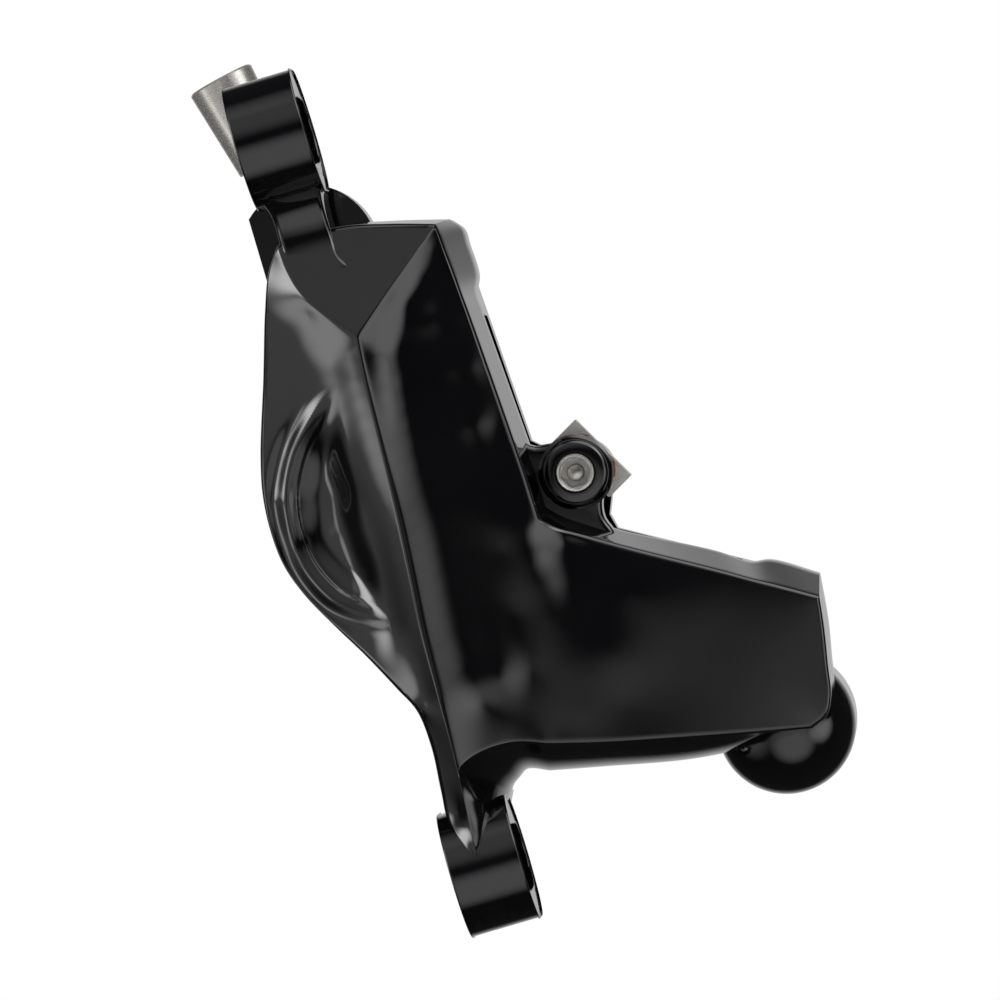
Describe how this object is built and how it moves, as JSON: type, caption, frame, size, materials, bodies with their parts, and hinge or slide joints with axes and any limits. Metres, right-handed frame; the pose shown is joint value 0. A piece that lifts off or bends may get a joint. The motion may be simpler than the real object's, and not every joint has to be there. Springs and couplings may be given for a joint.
{
  "type": "bicycle disc brake caliper",
  "caption": "Hydraulic disc brake caliper with opposed pistons, sliding pads, post mount ears and a banjo hose fitting.",
  "frame": {"origin": "middle of the post mount, on the plane of both seating faces", "axes": "+X along the mounting bolts away from the posts, +Z from the lower post to the upper one, +Y inboard along the wheel axle"},
  "size_m": [0.0513, 0.0394, 0.0896],
  "materials": {
    "black_alloy": "gloss black over forged aluminium",
    "black_fitting": "satin black anodised aluminium",
    "black_steel": "black oxide steel",
    "bright_steel": "turned stainless steel",
    "spring_steel": "bright rolled spring steel",
    "satin_steel": "satin turned steel",
    "satin_alloy": "satin turned aluminium",
    "coppered_steel": "copper plated steel",
    "friction_sinter": "rough sintered metal",
    "piston_resin": "ground phenolic resin",
    "copper_washer": "soft copper",
    "seal_rubber": "matt black rubber"
  },
  "bodies": {
    "caliper_body": {"outboard_half": "black_alloy", "inboard_half": "black_alloy", "body_bolts": "black_steel", "crossover_seal": "seal_rubber", "outboard_piston_seals": "seal_rubber", "inboard_piston_seals": "seal_rubber", "pad_spring": "spring_steel", "pad_pin": "bright_steel", "pin_clip": "spring_steel", "banjo_washers": "copper_washer", "banjo_bolt": "black_steel", "bleed_screw": "bright_steel", "bleed_seal": "seal_rubber"},
    "outboard_pad": {"outboard_pad_plate": "coppered_steel", "outboard_pad_friction": "friction_sinter"},
    "inboard_pad": {"inboard_pad_plate": "coppered_steel", "inboard_pad_friction": "friction_sinter"},
    "outboard_upper_piston": {"outboard_upper_piston": "piston_resin"},
    "outboard_lower_piston": {"outboard_lower_piston": "piston_resin"},
    "inboard_upper_piston": {"inboard_upper_piston": "piston_resin"},
    "inboard_lower_piston": {"inboard_lower_piston": "piston_resin"},
    "hose_fitting": {"hose_banjo": "black_fitting", "hose_stem": "satin_steel", "crimp_ferrule": "satin_alloy"}
  },
  "joints": [
    {"name": "outboard_pad_slide", "type": "slide", "parent": "caliper_body", "child": "outboard_pad", "axis": [0, 1, 0], "range_m": [0, 0.0012]},
    {"name": "inboard_pad_slide", "type": "slide", "parent": "caliper_body", "child": "inboard_pad", "axis": [0, -1, 0], "range_m": [0, 0.0012]},
    {"name": "outboard_upper_piston_slide", "type": "slide", "parent": "caliper_body", "child": "outboard_upper_piston", "axis": [0, 1, 0], "range_m": [0, 0.0012]},
    {"name": "outboard_lower_piston_slide", "type": "slide", "parent": "caliper_body", "child": "outboard_lower_piston", "axis": [0, 1, 0], "range_m": [0, 0.0012]},
    {"name": "inboard_upper_piston_slide", "type": "slide", "parent": "caliper_body", "child": "inboard_upper_piston", "axis": [0, -1, 0], "range_m": [0, 0.0012]},
    {"name": "inboard_lower_piston_slide", "type": "slide", "parent": "caliper_body", "child": "inboard_lower_piston", "axis": [0, -1, 0], "range_m": [0, 0.0012]},
    {"name": "hose_fitting_turn", "type": "hinge", "parent": "caliper_body", "child": "hose_fitting", "pos_m": [0.0027, 0.02305, 0.0259], "axis": [0, 1, 0], "range_deg": [-25, 25]}
  ],
  "couplings": [
    {"joint": "inboard_pad_slide", "follows": "outboard_pad_slide", "ratio": 1},
    {"joint": "outboard_upper_piston_slide", "follows": "outboard_pad_slide", "ratio": 1},
    {"joint": "outboard_lower_piston_slide", "follows": "outboard_pad_slide", "ratio": 1},
    {"joint": "inboard_upper_piston_slide", "follows": "outboard_pad_slide", "ratio": 1},
    {"joint": "inboard_lower_piston_slide", "follows": "outboard_pad_slide", "ratio": 1}
  ]
}
